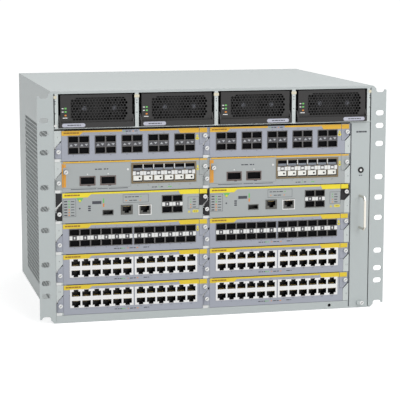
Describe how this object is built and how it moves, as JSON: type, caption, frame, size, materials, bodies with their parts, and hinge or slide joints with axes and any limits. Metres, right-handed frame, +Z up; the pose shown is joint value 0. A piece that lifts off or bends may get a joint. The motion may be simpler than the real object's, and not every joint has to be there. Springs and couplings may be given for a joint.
{
  "type": "modular chassis switch",
  "caption": "Rack chassis switch with sliding line cards on hinged levers, a row of power modules, an upright fan tray and slotted ears.",
  "frame": {"origin": "middle of the base's underside", "axes": "+X to the right seen from the front, -Y out of the front, +Z up"},
  "size_m": [0.4826, 0.3916, 0.3102],
  "materials": {
    "shell_paint": "satin powder coat",
    "cage_paint": "satin plated sheet",
    "circuit_board": "solder mask",
    "black_plastic": "moulded",
    "screw_steel": "zinc plated",
    "lilac_face": "satin paint",
    "grey_face": "satin paint",
    "black_lever": "satin paint",
    "black_steel": "fine textured black",
    "bright_steel": "polished bar"
  },
  "bodies": {
    "chassis": {"base_pan": "shell_paint", "left_side_panel": "shell_paint", "right_side_panel": "shell_paint", "top_cover": "shell_paint", "rear_panel": "shell_paint", "left_rack_ear": "shell_paint", "right_rack_ear": "shell_paint", "card_cage": "cage_paint", "backplane": "circuit_board", "power_inlets": "black_plastic", "chassis_screws": "screw_steel"},
    "card_01": {"card_01": "lilac_face"},
    "card_01_left_lever": {"card_01_left_lever": "lilac_face"},
    "card_01_right_lever": {"card_01_right_lever": "lilac_face"},
    "card_02": {"card_02": "lilac_face"},
    "card_02_left_lever": {"card_02_left_lever": "lilac_face"},
    "card_02_right_lever": {"card_02_right_lever": "lilac_face"},
    "card_03": {"card_03": "grey_face"},
    "card_03_left_lever": {"card_03_left_lever": "grey_face"},
    "card_03_right_lever": {"card_03_right_lever": "grey_face"},
    "expansion_module_03": {"expansion_module_03": "grey_face"},
    "card_04": {"card_04": "grey_face"},
    "card_04_left_lever": {"card_04_left_lever": "grey_face"},
    "card_04_right_lever": {"card_04_right_lever": "grey_face"},
    "expansion_module_04": {"expansion_module_04": "grey_face"},
    "card_05": {"card_05": "grey_face"},
    "card_05_left_lever": {"card_05_left_lever": "black_lever"},
    "card_05_right_lever": {"card_05_right_lever": "black_lever"},
    "card_06": {"card_06": "grey_face"},
    "card_06_left_lever": {"card_06_left_lever": "black_lever"},
    "card_06_right_lever": {"card_06_right_lever": "black_lever"},
    "card_07": {"card_07": "lilac_face"},
    "card_07_left_lever": {"card_07_left_lever": "lilac_face"},
    "card_07_right_lever": {"card_07_right_lever": "lilac_face"},
    "card_08": {"card_08": "lilac_face"},
    "card_08_left_lever": {"card_08_left_lever": "lilac_face"},
    "card_08_right_lever": {"card_08_right_lever": "lilac_face"},
    "card_09": {"card_09": "lilac_face"},
    "card_09_left_lever": {"card_09_left_lever": "lilac_face"},
    "card_09_right_lever": {"card_09_right_lever": "lilac_face"},
    "card_10": {"card_10": "lilac_face"},
    "card_10_left_lever": {"card_10_left_lever": "lilac_face"},
    "card_10_right_lever": {"card_10_right_lever": "lilac_face"},
    "card_11": {"card_11": "lilac_face"},
    "card_11_left_lever": {"card_11_left_lever": "lilac_face"},
    "card_11_right_lever": {"card_11_right_lever": "lilac_face"},
    "card_12": {"card_12": "lilac_face"},
    "card_12_left_lever": {"card_12_left_lever": "lilac_face"},
    "card_12_right_lever": {"card_12_right_lever": "lilac_face"},
    "power_module_1": {"power_module_1": "black_steel"},
    "power_module_1_bail": {"power_module_1_bail": "black_steel"},
    "power_module_2": {"power_module_2": "black_steel"},
    "power_module_2_bail": {"power_module_2_bail": "black_steel"},
    "power_module_3": {"power_module_3": "black_steel"},
    "power_module_3_bail": {"power_module_3_bail": "black_steel"},
    "power_module_4": {"power_module_4": "black_steel"},
    "power_module_4_bail": {"power_module_4_bail": "black_steel"},
    "fan_tray": {"fan_tray": "shell_paint", "fan_rotors": "black_plastic", "fan_tray_grip": "bright_steel"}
  },
  "joints": [
    {"name": "card_01_slide", "type": "slide", "parent": "chassis", "child": "card_01", "axis": [0, -1, 0], "range_m": [0, 0.28]},
    {"name": "card_01_left_lever_turn", "type": "hinge", "parent": "card_01", "child": "card_01_left_lever", "pos_m": [-0.217, -0.1811, 0.22745], "axis": [0, 0, -1], "range_deg": [0, 20]},
    {"name": "card_01_right_lever_turn", "type": "hinge", "parent": "card_01", "child": "card_01_right_lever", "pos_m": [-0.0129, -0.1811, 0.2516], "axis": [0, 0, 1], "range_deg": [0, 20]},
    {"name": "card_02_slide", "type": "slide", "parent": "chassis", "child": "card_02", "axis": [0, -1, 0], "range_m": [0, 0.28]},
    {"name": "card_02_left_lever_turn", "type": "hinge", "parent": "card_02", "child": "card_02_left_lever", "pos_m": [-0.0164, -0.1811, 0.22745], "axis": [0, 0, -1], "range_deg": [0, 20]},
    {"name": "card_02_right_lever_turn", "type": "hinge", "parent": "card_02", "child": "card_02_right_lever", "pos_m": [0.1877, -0.1811, 0.2516], "axis": [0, 0, 1], "range_deg": [0, 20]},
    {"name": "card_03_slide", "type": "slide", "parent": "chassis", "child": "card_03", "axis": [0, -1, 0], "range_m": [0, 0.28]},
    {"name": "card_03_left_lever_turn", "type": "hinge", "parent": "card_03", "child": "card_03_left_lever", "pos_m": [-0.217, -0.1811, 0.18605], "axis": [0, 0, -1], "range_deg": [0, 20]},
    {"name": "card_03_right_lever_turn", "type": "hinge", "parent": "card_03", "child": "card_03_right_lever", "pos_m": [-0.0129, -0.1811, 0.2102], "axis": [0, 0, 1], "range_deg": [0, 20]},
    {"name": "expansion_module_03_slide", "type": "slide", "parent": "card_03", "child": "expansion_module_03", "axis": [0, -1, 0], "range_m": [0, 0.12]},
    {"name": "card_04_slide", "type": "slide", "parent": "chassis", "child": "card_04", "axis": [0, -1, 0], "range_m": [0, 0.28]},
    {"name": "card_04_left_lever_turn", "type": "hinge", "parent": "card_04", "child": "card_04_left_lever", "pos_m": [-0.0164, -0.1811, 0.18605], "axis": [0, 0, -1], "range_deg": [0, 20]},
    {"name": "card_04_right_lever_turn", "type": "hinge", "parent": "card_04", "child": "card_04_right_lever", "pos_m": [0.1877, -0.1811, 0.2102], "axis": [0, 0, 1], "range_deg": [0, 20]},
    {"name": "expansion_module_04_slide", "type": "slide", "parent": "card_04", "child": "expansion_module_04", "axis": [0, -1, 0], "range_m": [0, 0.12]},
    {"name": "card_05_slide", "type": "slide", "parent": "chassis", "child": "card_05", "axis": [0, -1, 0], "range_m": [0, 0.28]},
    {"name": "card_05_left_lever_turn", "type": "hinge", "parent": "card_05", "child": "card_05_left_lever", "pos_m": [-0.217, -0.1811, 0.14465], "axis": [0, 0, -1], "range_deg": [0, 20]},
    {"name": "card_05_right_lever_turn", "type": "hinge", "parent": "card_05", "child": "card_05_right_lever", "pos_m": [-0.0129, -0.1811, 0.1688], "axis": [0, 0, 1], "range_deg": [0, 20]},
    {"name": "card_06_slide", "type": "slide", "parent": "chassis", "child": "card_06", "axis": [0, -1, 0], "range_m": [0, 0.28]},
    {"name": "card_06_left_lever_turn", "type": "hinge", "parent": "card_06", "child": "card_06_left_lever", "pos_m": [-0.0164, -0.1811, 0.14465], "axis": [0, 0, -1], "range_deg": [0, 20]},
    {"name": "card_06_right_lever_turn", "type": "hinge", "parent": "card_06", "child": "card_06_right_lever", "pos_m": [0.1877, -0.1811, 0.1688], "axis": [0, 0, 1], "range_deg": [0, 20]},
    {"name": "card_07_slide", "type": "slide", "parent": "chassis", "child": "card_07", "axis": [0, -1, 0], "range_m": [0, 0.28]},
    {"name": "card_07_left_lever_turn", "type": "hinge", "parent": "card_07", "child": "card_07_left_lever", "pos_m": [-0.217, -0.1811, 0.10325], "axis": [0, 0, -1], "range_deg": [0, 20]},
    {"name": "card_07_right_lever_turn", "type": "hinge", "parent": "card_07", "child": "card_07_right_lever", "pos_m": [-0.0129, -0.1811, 0.1274], "axis": [0, 0, 1], "range_deg": [0, 20]},
    {"name": "card_08_slide", "type": "slide", "parent": "chassis", "child": "card_08", "axis": [0, -1, 0], "range_m": [0, 0.28]},
    {"name": "card_08_left_lever_turn", "type": "hinge", "parent": "card_08", "child": "card_08_left_lever", "pos_m": [-0.0164, -0.1811, 0.10325], "axis": [0, 0, -1], "range_deg": [0, 20]},
    {"name": "card_08_right_lever_turn", "type": "hinge", "parent": "card_08", "child": "card_08_right_lever", "pos_m": [0.1877, -0.1811, 0.1274], "axis": [0, 0, 1], "range_deg": [0, 20]},
    {"name": "card_09_slide", "type": "slide", "parent": "chassis", "child": "card_09", "axis": [0, -1, 0], "range_m": [0, 0.28]},
    {"name": "card_09_left_lever_turn", "type": "hinge", "parent": "card_09", "child": "card_09_left_lever", "pos_m": [-0.217, -0.1811, 0.06185], "axis": [0, 0, -1], "range_deg": [0, 20]},
    {"name": "card_09_right_lever_turn", "type": "hinge", "parent": "card_09", "child": "card_09_right_lever", "pos_m": [-0.0129, -0.1811, 0.086], "axis": [0, 0, 1], "range_deg": [0, 20]},
    {"name": "card_10_slide", "type": "slide", "parent": "chassis", "child": "card_10", "axis": [0, -1, 0], "range_m": [0, 0.28]},
    {"name": "card_10_left_lever_turn", "type": "hinge", "parent": "card_10", "child": "card_10_left_lever", "pos_m": [-0.0164, -0.1811, 0.06185], "axis": [0, 0, -1], "range_deg": [0, 20]},
    {"name": "card_10_right_lever_turn", "type": "hinge", "parent": "card_10", "child": "card_10_right_lever", "pos_m": [0.1877, -0.1811, 0.086], "axis": [0, 0, 1], "range_deg": [0, 20]},
    {"name": "card_11_slide", "type": "slide", "parent": "chassis", "child": "card_11", "axis": [0, -1, 0], "range_m": [0, 0.28]},
    {"name": "card_11_left_lever_turn", "type": "hinge", "parent": "card_11", "child": "card_11_left_lever", "pos_m": [-0.217, -0.1811, 0.02045], "axis": [0, 0, -1], "range_deg": [0, 20]},
    {"name": "card_11_right_lever_turn", "type": "hinge", "parent": "card_11", "child": "card_11_right_lever", "pos_m": [-0.0129, -0.1811, 0.0446], "axis": [0, 0, 1], "range_deg": [0, 20]},
    {"name": "card_12_slide", "type": "slide", "parent": "chassis", "child": "card_12", "axis": [0, -1, 0], "range_m": [0, 0.28]},
    {"name": "card_12_left_lever_turn", "type": "hinge", "parent": "card_12", "child": "card_12_left_lever", "pos_m": [-0.0164, -0.1811, 0.02045], "axis": [0, 0, -1], "range_deg": [0, 20]},
    {"name": "card_12_right_lever_turn", "type": "hinge", "parent": "card_12", "child": "card_12_right_lever", "pos_m": [0.1877, -0.1811, 0.0446], "axis": [0, 0, 1], "range_deg": [0, 20]},
    {"name": "power_module_1_slide", "type": "slide", "parent": "chassis", "child": "power_module_1", "axis": [0, -1, 0], "range_m": [0, 0.28]},
    {"name": "power_module_1_bail_turn", "type": "hinge", "parent": "power_module_1", "child": "power_module_1_bail", "pos_m": [-0.1626, -0.178, 0.276], "axis": [-1, 0, 0], "range_deg": [0, 90]},
    {"name": "power_module_2_slide", "type": "slide", "parent": "chassis", "child": "power_module_2", "axis": [0, -1, 0], "range_m": [0, 0.28]},
    {"name": "power_module_2_bail_turn", "type": "hinge", "parent": "power_module_2", "child": "power_module_2_bail", "pos_m": [-0.0542, -0.178, 0.276], "axis": [-1, 0, 0], "range_deg": [0, 90]},
    {"name": "power_module_3_slide", "type": "slide", "parent": "chassis", "child": "power_module_3", "axis": [0, -1, 0], "range_m": [0, 0.28]},
    {"name": "power_module_3_bail_turn", "type": "hinge", "parent": "power_module_3", "child": "power_module_3_bail", "pos_m": [0.0542, -0.178, 0.276], "axis": [-1, 0, 0], "range_deg": [0, 90]},
    {"name": "power_module_4_slide", "type": "slide", "parent": "chassis", "child": "power_module_4", "axis": [0, -1, 0], "range_m": [0, 0.28]},
    {"name": "power_module_4_bail_turn", "type": "hinge", "parent": "power_module_4", "child": "power_module_4_bail", "pos_m": [0.1626, -0.178, 0.276], "axis": [-1, 0, 0], "range_deg": [0, 90]},
    {"name": "fan_tray_slide", "type": "slide", "parent": "chassis", "child": "fan_tray", "axis": [0, -1, 0], "range_m": [0, 0.27]}
  ]
}
